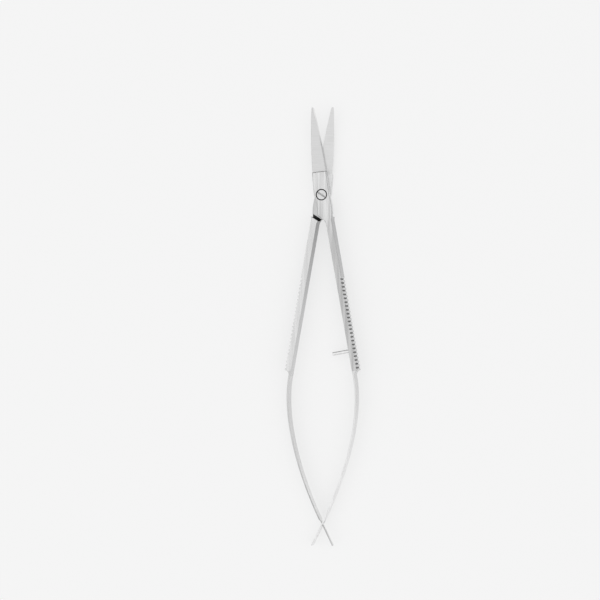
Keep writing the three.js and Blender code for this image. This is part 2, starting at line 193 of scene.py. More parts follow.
@dataclass(frozen=True)
class SteelFinish:
    """One finish of the steel: its grey, its gloss, the marks that working it left, and with a fade, light
    or shade painted along its length.

    The greys are linear and the marks are counted per metre.
    """

    NOISE_SPAN: ClassVar[Point] = (0.3, 0.7)
    NOISE_DETAIL: ClassVar[float] = 3.0
    STREAK_GLOSS: ClassVar[float] = 0.75
    GRAIN_STRENGTH: ClassVar[float] = 0.35

    name: str
    dark: float
    light: float
    gloss_low: float
    gloss_high: float
    fade: Fade | None = None
    streak_across: float = 1500.0
    streak_along: float = 60.0
    grain_across: float = 16000.0
    grain_along: float = 700.0
    grain_height: float = 2.0e-6

    def material(self) -> bpy.types.Material:
        """The finish's material, made when it is first asked for."""
        return bpy.data.materials.get(self.name) or self._new_material()

    def _new_material(self) -> bpy.types.Material:
        """Make the material.

        Returns:
            Metal with streaks in its grey and gloss, and fine grain in its normal.
        """
        material = bpy.data.materials.new(self.name)
        material.use_nodes = True
        graph = Graph(material.node_tree)
        place = graph.node("ShaderNodeTexCoord")["Object"]
        streaks = self._stretched_noise(graph, place, self.streak_across, self.streak_along)
        grain = self._stretched_noise(graph, place, self.grain_across, self.grain_along)
        share = self._mapped(graph, streaks, *self.NOISE_SPAN, 0.0, 1.0)
        tone = self.dark + (self.light - self.dark) * share
        # A fade paints light or shade into the grey along the frame's long axis
        if self.fade:
            along = graph.node("ShaderNodeSeparateXYZ", None, {"Vector": place})["Y"]
            tone = tone * self._mapped(graph, along, self.fade.start, self.fade.end, 1.0, self.fade.factor)
        marks = self.STREAK_GLOSS * share + (1 - self.STREAK_GLOSS) * grain
        gloss = self.gloss_low + (self.gloss_high - self.gloss_low) * marks
        normal = graph.node(
            "ShaderNodeBump",
            None,
            {"Strength": self.GRAIN_STRENGTH, "Distance": self.grain_height, "Height": grain},
        )["Normal"]
        steel = graph.node(
            "ShaderNodeBsdfPrincipled",
            None,
            {"Base Color": tone, "Metallic": 1.0, "Roughness": gloss, "Normal": normal},
        )["BSDF"]
        graph.node("ShaderNodeOutputMaterial", None, {"Surface": steel})
        return material

    @staticmethod
    def _mapped(graph: Graph, value: Wire, low: float, high: float, at_low: float, at_high: float) -> Wire:
        """A value eased from the range low to high into the range at_low to at_high."""
        sockets = {"Value": value, "From Min": low, "From Max": high, "To Min": at_low, "To Max": at_high}
        return graph.node("ShaderNodeMapRange", {"interpolation_type": "SMOOTHSTEP"}, sockets)["Result"]

    def _stretched_noise(self, graph: Graph, place: Wire, across: float, along: float) -> Wire:
        """Noise with its own pace along the length of the scissors and across it.

        Args:
            graph: Tree to add to.
            place: Position in metres.
            across: Marks per metre across the length.
            along: Marks per metre along it.

        Returns:
            Noise from 0 to 1.
        """
        scaled = graph.node(
            "ShaderNodeVectorMath", {"operation": "MULTIPLY"}, {0: place, 1: (across, along, across)}
        )["Vector"]
        sockets = {"Vector": scaled, "Scale": 1.0, "Detail": self.NOISE_DETAIL}
        return graph.node("ShaderNodeTexNoise", None, sockets)["Fac"]


# Place of the arms' lower ends along the frame's long axis, in metres
ARM_END = -0.013

SCREW = SteelFinish("turned_screw_steel", 0.62, 0.74, 0.22, 0.32, streak_along=1500.0, grain_along=16000.0)
# Painted shade: darker steel in the screw's recess and in its slot
RECESS = SteelFinish("painted_shade_recess_steel", 0.4, 0.5, 0.35, 0.45)
PIN = SteelFinish("ground_pin_steel", 0.78, 0.86, 0.26, 0.34)
SHARED_FINISHES: dict[Zone, SteelFinish] = {
    # Painted light: the ground face is made lighter at its root, near the joint, to lift the joint's shade
    Zone.GROUND: SteelFinish(
        "satin_ground_steel_painted_light_at_root", 0.66, 0.72, 0.36, 0.44, Fade(0.0404, 0.039, 1.16),
        streak_across=300.0, streak_along=9000.0, grain_across=700.0, grain_along=16000.0,
    ),
    Zone.CRESTS: SteelFinish("worn_crest_steel", 0.62, 0.72, 0.22, 0.32),
    # Painted shade: the valleys between the teeth are made dark where shade falls
    Zone.VALLEYS: SteelFinish("painted_shade_valley_steel", 0.16, 0.24, 0.4, 0.5),
    # Painted shade: near-black steel in the bore and the relief groove, darker still at the groove's lower
    # end
    Zone.HOLLOWS: SteelFinish("painted_shade_hollow_steel", 0.09, 0.12, 0.5, 0.6, Fade(0.0297, 0.0283, 0.2)),
    # A honed edge with a painted highlight: the edge bevels are made lighter than the ground face to lift
    # their reflection
    Zone.HONED: SteelFinish("honed_edge_steel_painted_highlight", 0.84, 0.92, 0.16, 0.24),
    # Painted shade: the lap face beside the other half's joint, and the recess's under-faces, are made
    # darker
    Zone.LAPS: SteelFinish("painted_shade_lap_steel", 0.5, 0.6, 0.3, 0.4),
    # Painted shade: the rounded edges are made darker so that they read as dark lines
    Zone.EDGES: SteelFinish("painted_shade_edge_steel", 0.48, 0.56, 0.35, 0.45),
    # Painted shade: the arms' side walls are made darker and lighten towards the arms' ends
    Zone.WALLS: SteelFinish("painted_shade_wall_steel", 0.47, 0.54, 0.3, 0.4, Fade(0.0284, ARM_END, 1.36)),
    Zone.RECESS: RECESS,
    # Painted light and shade: the joint's side walls are made lighter to lift their shade and darken
    # towards the arms
    Zone.FLANKS: SteelFinish("painted_light_and_shade_flank_steel", 0.72, 0.8, 0.3, 0.4, Fade(0.0315, 0.0272, 0.66)),
    # Painted shade: the arms' inner walls are made dark, darkest near the joint and lighter towards the
    # arms' ends
    Zone.INNER_WALLS: SteelFinish("shaded_inner_steel", 0.28, 0.33, 0.3, 0.4, Fade(0.036, ARM_END, 2.2)),
}
SIDE_FINISHES: dict[Side, dict[Zone, SteelFinish]] = {
    Side.FRONT: {
        # Painted shade: the front half's polished faces darken from the joint down the arm
        Zone.POLISHED: SteelFinish("front_polished_steel_painted_shade", 0.56, 0.76, 0.18, 0.3, Fade(0.034, 0.018, 0.82)),
        # Painted light: the front leaf and its edges lighten towards the tail
        Zone.SPRING: SteelFinish("front_spring_steel_painted_light", 0.62, 0.72, 0.2, 0.28, Fade(ARM_END, -0.04, 1.28)),
        Zone.LEAF_EDGES: SteelFinish(
            "front_leaf_edge_steel_painted_light", 0.64, 0.74, 0.3, 0.4, Fade(ARM_END, -0.04, 1.16)
        ),
    },
    Side.REAR: {
        Zone.POLISHED: SteelFinish("rear_polished_steel", 0.65, 0.75, 0.18, 0.3),
        # Painted light on the rear leaf, lighter towards the tail; painted shade on its edges, darker
        # overall and darker still towards the tail
        Zone.SPRING: SteelFinish("rear_spring_steel_painted_light", 0.63, 0.73, 0.2, 0.28, Fade(-0.03, -0.046, 1.2)),
        Zone.LEAF_EDGES: SteelFinish(
            "rear_leaf_edge_steel_painted_shade", 0.54, 0.64, 0.3, 0.4, Fade(-0.03, -0.046, 0.8)
        ),
    },
}


class Solid:
    """A mesh in millimetres about the pivot that solids can be cut with.

    Corners within WELD are joined, faces within FLAT degrees are merged, and edges over SHARP degrees
    are rounded in EDGE_STEPS steps.
    """

    WELD = 0.004
    FLAT = 0.2
    SHARP = 28.0
    EDGE_STEPS = 2
    FACE_WEIGHT = 100

    def __init__(self, name: str, mesh: bpy.types.Mesh) -> None:
        """Hold a mesh as an object of the scene."""
        self.thing = bpy.data.objects.new(name, mesh)
        bpy.context.scene.collection.objects.link(self.thing)

    @classmethod
    def prism(cls, name: str, outline: Sequence[Sequence[float]], low: float, high: float) -> "Solid":
        """Raise a plan outline of (x, y) corners from a low height to a high one."""
        rings = [[Vector((x, y, z)) for x, y in outline] for z in (low, high)]
        return cls.loft(name, rings)

    @classmethod
    def side_prism(cls, name: str, outline: Sequence[Sequence[float]], reach: float) -> "Solid":
        """Run a side outline of (y, z) corners across the scissors, to the same reach on both sides."""
        rings = [[Vector((x, y, z)) for y, z in outline] for x in (-reach, reach)]
        return cls.loft(name, rings)

    @classmethod
    def loft(cls, name: str, rings: Sequence[Sequence[Vector]]) -> "Solid":
        """Skin a row of rings with equal point counts and close both ends.

        Args:
            name: Name of the object.
            rings: Rings of points, in order.

        Returns:
            A closed solid with its faces pointing out.
        """
        work = bmesh.new()
        rows = [[work.verts.new(point) for point in ring] for ring in rings]
        count = len(rows[0])
        for near, far in zip(rows, rows[1:]):
            for i in range(count):
                j = (i + 1) % count
                work.faces.new((near[i], near[j], far[j], far[i]))
        work.faces.new(rows[0])
        work.faces.new(rows[-1])
        bmesh.ops.recalc_face_normals(work, faces=work.faces)
        mesh = bpy.data.meshes.new(name)
        work.to_mesh(mesh)
        work.free()
        return cls(name, mesh)

    @classmethod
    def turned(cls, name: str, profile: Sequence[Point], segments: int) -> "Solid":
        """Turn a profile about the pivot axis.

        Args:
            name: Name of the object.
            profile: Points as (radius, height) that start and end on the axis.
            segments: Facets of the full turn.

        Returns:
            A closed solid.
        """
        angles = [FULL_TURN * i / segments for i in range(segments)]
        rings = []
        for radius, height in profile[1:-1]:
            rings.append([Vector((radius * math.cos(a), radius * math.sin(a), height)) for a in angles])
        return cls.loft(name, rings)

    def moved(self, matrix: Matrix) -> "Solid":
        """Move the mesh itself by a matrix."""
        self.thing.data.transform(matrix)
        return self

    def cut(self, tool: "Solid", kind: Cut = Cut.AWAY) -> "Solid":
        """Cut with another solid, which is used up.

        Args:
            tool: The other solid.
            kind: Whether its space is taken away or alone is kept.

        Returns:
            This solid.
        """
        modifier = self.thing.modifiers.new("cut", "BOOLEAN")
        modifier.operation = kind.value
        modifier.solver = "EXACT"
        modifier.object = tool.thing
        self._apply()
        bpy.data.objects.remove(tool.thing)
        return self

    def soften(self, width_at: Callable[[Vector], float], angle: float = SHARP) -> "Solid":
        """Round every edge that is sharper than an angle, and shade flat faces flat.

        Args:
            width_at: Width of the rounding for the middle of an edge.
            angle: Least angle of an edge, in degrees.

        Returns:
            This solid.
        """
        work = bmesh.new()
        work.from_mesh(self.thing.data)
        bmesh.ops.remove_doubles(work, verts=work.verts, dist=self.WELD)
        flat = math.radians(self.FLAT)
        bmesh.ops.dissolve_limit(work, angle_limit=flat, verts=work.verts, edges=work.edges)
        weights = work.edges.layers.float.new("bevel_weight_edge")
        widest = 0.0
        for edge in work.edges:
            if edge.is_manifold and edge.calc_face_angle() > math.radians(angle):
                edge[weights] = width_at((edge.verts[0].co + edge.verts[1].co) / 2)
                widest = max(widest, edge[weights])
        # A weight is a share of the widest rounding
        for edge in work.edges:
            edge[weights] /= widest
        work.to_mesh(self.thing.data)
        work.free()
        bevel = self.thing.modifiers.new("edges", "BEVEL")
        bevel.width = widest
        bevel.segments = self.EDGE_STEPS
        bevel.limit_method = "WEIGHT"
        bevel.use_clamp_overlap = False
        self._apply()
        for polygon in self.thing.data.polygons:
            polygon.use_smooth = True
        weighted = self.thing.modifiers.new("shading", "WEIGHTED_NORMAL")
        weighted.mode = "FACE_AREA"
        weighted.weight = self.FACE_WEIGHT
        self._apply()
        return self

    def _apply(self) -> None:
        """Make the modifiers part of the mesh."""
        graph = bpy.context.evaluated_depsgraph_get()
        mesh = bpy.data.meshes.new_from_object(self.thing.evaluated_get(graph))
        self.thing.modifiers.clear()
        self.thing.data = mesh

    def place(self, pivot: Vector, turned_over: bool = False) -> bpy.types.Object:
        """Bring the mesh into the frame.

        Args:
            pivot: The lap plane's point on the pivot axis, in metres.
            turned_over: Whether the piece is turned over about the long axis first.

        Returns:
            The finished object, in metres.
        """
        matrix = Matrix.Translation(pivot) @ Matrix.Scale(MM, 4)
        if turned_over:
            matrix = matrix @ Matrix.Rotation(math.pi, 4, "Y")
        self.thing.data.transform(matrix)
        self.thing.data.update()
        return self.thing


def curve(points: Sequence[Vector], steps: int) -> list[Vector]:
    """Points along a Bezier curve after its first one.

    Args:
        points: Its control points, three or four.
        steps: How many points to give.

    Returns:
        The points, ending on the last control point.
    """
    order = len(points) - 1
    found = []
    for step in range(1, steps + 1):
        t = step / steps
        weights = [math.comb(order, k) * (1 - t) ** (order - k) * t**k for k in range(order + 1)]
        found.append(sum((w * p for w, p in zip(weights, points)), Vector((0.0, 0.0))))
    return found


@dataclass(frozen=True)
class Blade:
    """Sizes of one ground blade, in millimetres about the pivot."""

    length: float = 23.0
    tip_offset: float = 2.6
    tip_width: float = 0.5
    spine_bulge: float = 0.8
    edge_belly: float = 0.75
    shoulder: float = 5.9
    root_thickness: float = 1.1
    tip_thickness: float = 0.7
    grind_slope: float = 12.0
    bevel_width: float = 0.25
    bevel_share: float = 0.5
    edge_land: float = 0.12
    spine_chamfer: float = 0.1
    chamfer_share: float = 0.25
    groove_width: float = 0.22
    groove_depth: float = 0.16
    stations: int = 30

    @property
    def lean(self) -> float:
        """Turn of the open blade away from the long axis, in radians."""
        return math.atan2(self.tip_offset, self.length)

    def _bowed(self, tip: float, bow: float, joint: float, y: float) -> float:
        """Follow a bowed line from the blade's tip to the joint.

        Args:
            tip: x of the line at the tip.
            bow: How far its control point lies to the right of its middle.
            joint: x of the line at the pivot's height.
            y: Height above the pivot.

        Returns:
            x of the line at that height.
        """
        t = 1 - y / self.length
        control = (tip + joint) / 2 + bow
        return (1 - t) ** 2 * tip + 2 * (1 - t) * t * control + t**2 * joint

    def spine(self, y: float, joint_half: float) -> float:
        """x of the blade's back at a height above the pivot."""
        return self._bowed(-self.tip_offset - self.tip_width / 2, -self.spine_bulge, -joint_half, y)

    def edge(self, y: float, joint_half: float) -> float:
        """x of the cutting edge at a height above the pivot."""
        return self._bowed(-self.tip_offset + self.tip_width / 2, self.edge_belly, joint_half, y)

    @property
    def slope(self) -> float:
        """Fall of the ground face from the back to the edge, in radians."""
        return math.radians(self.grind_slope)

    def thickness(self, y: float) -> float:
        """Thickness on the blade's middle line at a height above the pivot, falling to the tip."""
        share = (y - self.shoulder) / (self.length - self.shoulder)
        return self.root_thickness + (self.tip_thickness - self.root_thickness) * share

    def ground(self, x: float, y: float) -> float:
        """Thickness at a place, which thins to the tip and falls from the back to the edge."""
        return self.thickness(y) - (x + y * math.tan(self.lean)) * math.tan(self.slope)


@dataclass(frozen=True)
class Joint:
    """Sizes of one side of the lap joint, in millimetres about the pivot."""

    half_width: float = 2.0
    thickness: float = 1.85
    clearance: float = 0.06
    flare: float = 3.0
    hollow: float = 0.95
    heel_offset: float = 1.0
    heel_drop: float = 5.35
    crotch_offset: float = 0.1
    crotch_drop: float = 6.3
    crotch_rounding: float = 1.2
    shoulder_angle: float = 33.0
    relief_width: float = 0.7
    relief_depth: float = 0.5
    crisp_reach: float = 1.4
    ramp: float = 4.0
    bore: float = 0.95
    recess_radius: float = 1.5
    recess_depth: float = 0.75

    @property
    def lap(self) -> float:
        """Height of the lap face."""
        return self.clearance / 2

    @property
    def face(self) -> float:
        """Height of the outer face."""
        return self.lap + self.thickness

    @property
    def up_shoulder(self) -> Vector:
        """Direction square to the sloping shoulder, towards the blade."""
        angle = math.radians(self.shoulder_angle)
        return Vector((-math.sin(angle), math.cos(angle)))


@dataclass(frozen=True)
class Arm:
    """Sizes of one arm with its serrated pad, in millimetres about the pivot.

    A valley between two teeth is given in shares of a tooth's flank and of its depth.
    """

    root: Point = (1.12, -6.75)
    angle: float = 10.1
    length: float = 39.9
    thickness: float = 1.6
    depth: float = 4.4
    teeth: int = 24
    pitch: float = 1.02
    tooth_depth: float = 0.42
    tooth_margin: float = 0.2
    crest: float = 0.3
    valley: tuple[Point, ...] = ((0.0, 0.0), (0.4, 0.5), (1.0, 1.0), (1.6, 0.5), (2.0, 0.0))
    pad_runout: float = 0.6
    pin_from_end: float = 5.3
    pin_seat: float = 0.9
    pin_bore: float = 0.55

    @property
    def pin_along(self) -> float:
        """Distance down the arm to the stop pin."""
        return self.length - self.pin_from_end

    @property
    def along(self) -> Vector:
        """Direction down the arm."""
        return Vector((math.sin(math.radians(self.angle)), -math.cos(math.radians(self.angle))))

    @property
    def out(self) -> Vector:
        """Direction out of the arm's outer face."""
        return Vector((math.cos(math.radians(self.angle)), math.sin(math.radians(self.angle))))

    @property
    def pad_start(self) -> float:
        """Distance down the arm to the first tooth."""
        return self.length - self.teeth * self.pitch

    def at(self, along: float, out: float) -> Vector:
        """Point by distance down the arm and out from its inner face."""
        return Vector(self.root) + along * self.along + out * self.out

    def read(self, x: float, y: float) -> Point:
        """Distance down the arm and out from its inner face of a point."""
        offset = Vector((x, y)) - Vector(self.root)
        return offset.dot(self.along), offset.dot(self.out)


@dataclass(frozen=True)
class Leaf:
    """Sizes of one spring leaf and its tail, in millimetres about the pivot."""

    thickness: float = 0.42
    tail_thickness: float = 0.32
    stub: float = 1.3
    fillet: float = 0.5
    flex_gap: float = 0.3
    root_depth: float = 4.2
    tail_depth: float = 3.0
    crossing: float = 86.2
    half_angle: float = 26.0
    root_handle: float = 9.0
    tail_handle: float = 18.0
    tail: float = 6.2
    tongue_depth: float = 1.2
    slot_clearance: float = 0.25
    slot_length: float = 4.4
    slot_corner: float = 0.3
    crossing_clearance: float = 1.1
    stations: int = 48
    flex_length: float = 22.0

    @property
    def tail_along(self) -> Vector:
        """Direction down the straight tail."""
        return Vector((-math.sin(math.radians(self.half_angle)), -math.cos(math.radians(self.half_angle))))


@dataclass
class ScissorHalf:
    """One forging: blade, lap joint, arm with pad, and spring leaf in one unbroken mesh.

    A face is level when the upright share of its normal is over ``level``, and it faces some way when
    that share of its normal is over ``facing``.
    """

    pivot: Vector
    side: Side
    blade: Blade = field(default_factory=Blade)
    joint: Joint = field(default_factory=Joint)
    arm: Arm = field(default_factory=Arm)
    leaf: Leaf = field(default_factory=Leaf)
    edge_break: float = 0.14
    leaf_edge_break: float = 0.07
    fine_edge_break: float = 0.03
    margin: float = 1.0
    spill: float = 0.25
    level: float = 0.95
    facing: float = 0.5
    round_steps: int = 8
    bore_segments: int = 48
    seat_segments: int = 24

    def build(self) -> bpy.types.Object:
        """Make the mesh and place it.

        Returns:
            The finished object.
        """
        half_depth = self.arm.depth / 2
        body = Solid.prism(f"{self.side.value}_forging", self._plan(), -half_depth, half_depth)
        reach = self.blade.length
        body.cut(Solid.side_prism("profile", self._profile(), reach), Cut.COMMON)
        body.cut(self._shoulder_tool(2 * reach, self.joint.lap))
        body.cut(self._shoulder_tool(self.joint.relief_width, self.joint.lap + self.joint.relief_depth))
        body.cut(self._grinding_tool())
        body.cut(self._edge_tool(cutting=True))
        body.cut(self._edge_tool(cutting=False))
        body.cut(self._cylinder("bore", self.joint.bore, -self.arm.depth, self.arm.depth))
        if self.side is Side.FRONT:
            floor = self.joint.face - self.joint.recess_depth
            body.cut(self._cylinder("recess", self.joint.recess_radius, floor, self.arm.depth))
            body.cut(self._pin_tool())
            body.cut(Solid.side_prism("slot", self._slot_outline(), self.leaf.tail))
        body.soften(self._edge_width)
        for polygon in body.thing.data.polygons:
            polygon.material_index = self._zone(polygon.center, polygon.normal).value
        return body.place(self.pivot, turned_over=self.side is Side.REAR)

    def dress(self, piece: bpy.types.Object) -> None:
        """Give the mesh its finishes and hide the imported half and spring leaf that it stands in for.

        Args:
            piece: The finished mesh.
        """
        finishes = SHARED_FINISHES | SIDE_FINISHES[self.side]
        for zone in Zone:
            piece.data.materials.append(finishes[zone].material())
        name = self.side.value
        root = self.arm.at(self.arm.length + self.leaf.stub, 0.0)
        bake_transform(piece)
        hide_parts(f"{name}_half", f"{name}_spring_leaf")

    def _plan(self) -> list[Vector]:
        """Plan outline from the blade's tip, down the cutting side and back up the inner side.

        Returns:
            Corners as (x, y).
        """
        blade, joint, arm = self.blade, self.joint, self.arm
        tip_round = blade.tip_width / 2
        heights = [(blade.length - tip_round) * (1 - i / blade.stations) for i in range(blade.stations)]
        points = [Vector((blade.edge(y, joint.half_width), y)) for y in heights]
        points.append(Vector((joint.half_width, 0.0)))
        outer_root = arm.at(0.0, arm.thickness)
        bulge = Vector((joint.flare, outer_root.y / 2))
        points += curve([points[-1], bulge, outer_root], self.round_steps)
        points += self._teeth()
        points += self._pad_step()
        points += self._leaf_side(outer=True)
        points += reversed(self._leaf_side(outer=False))
        crotch_end = arm.at(joint.crotch_rounding, 0.0)
        crotch = Vector((joint.crotch_offset, -joint.crotch_drop))
        points += [arm.at(arm.length, 0.0), crotch_end]
        points += curve([crotch_end, Vector(arm.root), crotch], self.round_steps)
        heel = Vector((-joint.heel_offset, -joint.heel_drop))
        hollow = Vector((-joint.hollow, -joint.heel_drop / 2))
        points += [heel, *curve([heel, hollow, Vector((-joint.half_width, 0.0))], self.round_steps)]
        points += [Vector((blade.spine(y, joint.half_width), y)) for y in reversed(heights)]
        centre = Vector((-blade.tip_offset, blade.length - tip_round))
        for step in range(1, self.round_steps):
            angle = math.pi * (1 - step / self.round_steps)
            points.append(centre + tip_round * Vector((math.cos(angle), math.sin(angle))))
        return points

    def _teeth(self) -> list[Vector]:
        """Outline of the serrated pad, down the arm's outer face.

        Returns:
            Corners in plan.
        """
        arm = self.arm
        flank = (arm.pitch - arm.crest) / 2
        points = []
        for tooth in range(arm.teeth):
            start = arm.pad_start + tooth * arm.pitch
            for share, depth in arm.valley:
                points.append(arm.at(start + flank * share, arm.thickness - depth * arm.tooth_depth))
        return points

    def _pad_step(self) -> list[Vector]:
        """Outline of the pad's end and the hollow that leads into the leaf.

        Returns:
            Corners in plan.
        """
        arm, leaf = self.arm, self.leaf
        start = arm.at(arm.length + arm.pad_runout / 2, (arm.thickness + leaf.thickness) / 2)
        corner = arm.at(arm.length + arm.pad_runout, leaf.thickness)
        end = arm.at(arm.length + arm.pad_runout + leaf.fillet, leaf.thickness)
        return [arm.at(arm.length, arm.thickness), start, *curve([start, corner, end], self.round_steps)]

    def _leaf_side(self, outer: bool) -> list[Vector]:
        """One side of the leaf, from its root to the end of its tail.

        Args:
            outer: Whether it is the outer side.

        Returns:
            Corners in plan.
        """
        arm, leaf = self.arm, self.leaf
        root = arm.at(arm.length + leaf.stub + leaf.flex_gap, leaf.thickness / 2)
        crossing = Vector((0.0, -leaf.crossing))
        handles = [root + leaf.root_handle * arm.along, crossing - leaf.tail_handle * leaf.tail_along]
        end = crossing + leaf.tail * leaf.tail_along
        middle = [root, *curve([root, *handles, crossing], leaf.stations), end]
        sign = 1.0 if outer else -1.0
        points = []
        for i, point in enumerate(middle):
            run = (middle[min(i + 1, len(middle) - 1)] - middle[max(i - 1, 0)]).normalized()
            thinning = (leaf.tail_thickness - leaf.thickness) * min(i / leaf.stations, 1.0)
            points.append(point + sign * (leaf.thickness + thinning) / 2 * Vector((-run.y, run.x)))
        return points

    def _profile(self) -> list[Vector]:
        """Side outline of joint, ramp, arm, tapering leaf and tail.

        Returns:
            Corners as (y, z).
        """
        joint, arm = self.joint, self.arm
        depth = arm.depth / 2
        top = self.blade.length + self.margin
        centre = arm.root[1]
        ramp_top = Vector((centre + joint.ramp / 2, joint.face))
        ramp_end = Vector((centre - joint.ramp / 2, depth))
        bends = [Vector((centre, joint.face)), Vector((centre, depth))]
        upper = [Vector((top, joint.face)), ramp_top]
        upper += curve([ramp_top, *bends, ramp_end], self.round_steps)
        upper += [Vector(p) for p in self._leaf_depths()]
        lower = [Vector((y, -z)) for y, z in reversed(self._leaf_depths())]
        return [*upper, *lower, Vector((top, -depth))]

    def _leaf_depths(self) -> list[Point]:
        """Half the depth of the arm's end, leaf and tail, from the arm down.

        Returns:
            Pairs of y and half-depth.
        """
        arm, leaf = self.arm, self.leaf
        arm_end = arm.at(arm.length, 0.0).y
        root = arm.at(arm.length + leaf.stub + leaf.flex_gap, 0.0).y
        bottom = -leaf.crossing - leaf.tail - self.margin
        depths = [(arm_end, arm.depth / 2), (root, leaf.root_depth / 2)]
        if self.side is Side.FRONT:
            return [*depths, (-leaf.crossing, leaf.tail_depth / 2), (bottom, leaf.tail_depth / 2)]
        neck = -leaf.crossing + leaf.crossing_clearance
        share = (root - neck) / (root + leaf.crossing)
        neck_depth = leaf.root_depth + (leaf.tail_depth - leaf.root_depth) * share
        tongue = leaf.tongue_depth / 2
        return [*depths, (neck, neck_depth / 2), (neck, tongue), (bottom, tongue)]

    def _slot_outline(self) -> list[Vector]:
        """Side outline of the rounded slot that takes the other half's tongue.

        Returns:
            Corners as (y, z).
        """
        leaf = self.leaf
        top = -leaf.crossing + leaf.crossing_clearance
        reach = leaf.tongue_depth / 2 + leaf.slot_clearance
        corners = [Vector(c) for c in ((top, reach), (top - leaf.slot_length, reach))]
        corners += [Vector((c.x, -c.y)) for c in reversed(corners)]
        points = []
        for i, corner in enumerate(corners):
            before = corner + leaf.slot_corner * (corners[i - 1] - corner).normalized()
            after = corner + leaf.slot_corner * (corners[(i + 1) % len(corners)] - corner).normalized()
            points += [before, *curve([before, corner, after], self.round_steps)]
        return points

    def _shoulder_tool(self, width: float, high: float) -> Solid:
        """A strip along the sloping shoulder that starts the full-depth arm.

        Args:
            width: Width of the strip, up from the shoulder.
            high: Height of its top.

        Returns:
            The cutter.
        """
        angle = math.radians(self.joint.shoulder_angle)
        rise = width / math.cos(angle)
        run = self.blade.length
        fall = run * math.tan(angle)
        x, y = self.arm.root
        outline = [(x - run, y - fall), (x + run, y + fall)]
        outline += [(x + run, y + fall + rise), (x - run, y - fall + rise)]
        return Solid.prism("shoulder", outline, -self.arm.depth, high)

    def _grinding_tool(self) -> Solid:
        """What is ground off the blade's outer face, with the fine groove at its shoulder.

        Returns:
            The cutter.
        """
        blade, lap = self.blade, self.joint.lap
        start, end = blade.shoulder, blade.length + self.margin
        groove_end = start + blade.groove_width
        floor = lap + blade.thickness(start) - blade.groove_depth
        high = self.arm.depth
        outline = [(start, high), (start, floor), (start + blade.groove_width / 2, floor)]
        for y in (groove_end, end):
            outline.append((y, lap + blade.thickness(y)))
        outline.append((end, high))
        sloped = [(y, z * math.cos(blade.slope)) for y, z in outline]
        turn = Matrix.Rotation(blade.lean, 4, "Z") @ Matrix.Rotation(blade.slope, 4, "Y")
        return Solid.side_prism("grinding", sloped, blade.length).moved(turn)

    def _edge_tool(self, cutting: bool) -> Solid:
        """A wedge along the cutting edge or the back of the blade.

        Args:
            cutting: Whether it is on the cutting edge.

        Returns:
            The cutter.
        """
        blade, lap, half = self.blade, self.joint.lap, self.joint.half_width
        sign = 1.0 if cutting else -1.0
        # The wedges start clear of the groove
        start = blade.shoulder + 2 * blade.groove_width
        end = blade.length + self.margin
        rings = []
        for i in range(blade.stations + 1):
            y = start + (end - start) * i / blade.stations
            inside = min(y, blade.length)
            room = blade.edge(inside, half) - blade.spine(inside, half)
            if cutting:
                line, width = blade.edge(y, half), min(blade.bevel_width, blade.bevel_share * room)
                low = lap + blade.edge_land
            else:
                line, width = blade.spine(y, half), min(blade.spine_chamfer, blade.chamfer_share * room)
                low = lap + blade.ground(line, y) - width
            high = lap + blade.ground(line - sign * width, y)
            steep = (high - low) / width
            outer = (line + sign * self.spill, low - steep * self.spill)
            inner = (line - sign * (width + self.spill), high + steep * self.spill)
            section = [outer, inner, (outer[0], inner[1])]
            rings.append([Vector((x, y, z)) for x, z in section])
        return Solid.loft("bevel", rings)

    def _cylinder(self, name: str, radius: float, low: float, high: float) -> Solid:
        """An upright cylinder on the pivot axis."""
        return Solid.turned(name, [(0, low), (radius, low), (radius, high), (0, high)], self.bore_segments)

    def _pin_tool(self) -> Solid:
        """The blind seat of the stop pin in the arm's inner face."""
        profile = pin_profile(self.arm.pin_bore, self.arm.pin_seat + self.margin, 0.0)
        return Solid.turned("seat", profile, self.seat_segments).moved(pin_matrix(self.arm))

    def _on_blade(self, place: Vector, slack: float = 0.0) -> bool:
        """Whether a place lies beyond the ground shoulder of the blade, give or take a slack."""
        return (Matrix.Rotation(-self.blade.lean, 3, "Z") @ place).y > self.blade.shoulder - slack

    def _on_pad(self, place: Vector) -> bool:
        """Tell the teeth of the pad from the rest.

        Args:
            place: A place on the forging.

        Returns:
            Whether it lies among the teeth.
        """
        arm = self.arm
        along, out = arm.read(place.x, place.y)
        floor = arm.thickness - (1 + arm.tooth_margin) * arm.tooth_depth
        return arm.pad_start - arm.crest < along < arm.length and out > floor

    def _rise(self, place: Vector) -> float:
        """Distance of a place above the line of the sloping shoulder."""
        return (place.xy - Vector(self.arm.root)).dot(self.joint.up_shoulder)

    def _edge_width(self, place: Vector) -> float:
        """Width of an edge's rounding: crisp at the details, full on the arms.

        Args:
            place: Middle of the edge.

        Returns:
            The width in millimetres.
        """
        joint = self.joint
        near_screw = place.xy.length < joint.recess_radius + self.fine_edge_break
        rise = self._rise(place)
        at_shoulder = abs(rise) < joint.crisp_reach and place.z < joint.face / 2
        at_lap = rise > 0 and abs(place.z - joint.lap) < joint.relief_depth
        at_blade = self._on_blade(place, self.edge_break)
        if near_screw or at_shoulder or at_lap or at_blade or self._on_pad(place):
            return self.fine_edge_break
        on_leaf = self.arm.read(place.x, place.y)[0] > self.arm.length
        return self.leaf_edge_break if on_leaf else self.edge_break

    def _in_hollow(self, place: Vector, normal: Vector) -> bool:
        """Tell the lining of the bore and of the relief cut into the lap.

        Args:
            place: Middle of a face.
            normal: Which way it faces.

        Returns:
            Whether the face is one of these.
        """
        joint = self.joint
        if place.xy.length < joint.bore + self.fine_edge_break:
            return True
        within = 0.0 < self._rise(place) < joint.relief_width + self.fine_edge_break
        depth = place.z - joint.lap - self.fine_edge_break
        deep = 0.0 < depth < joint.relief_depth
        turned_in = min(normal.z, normal.xy.dot(joint.up_shoulder)) < -self.facing
        return within and deep and turned_in

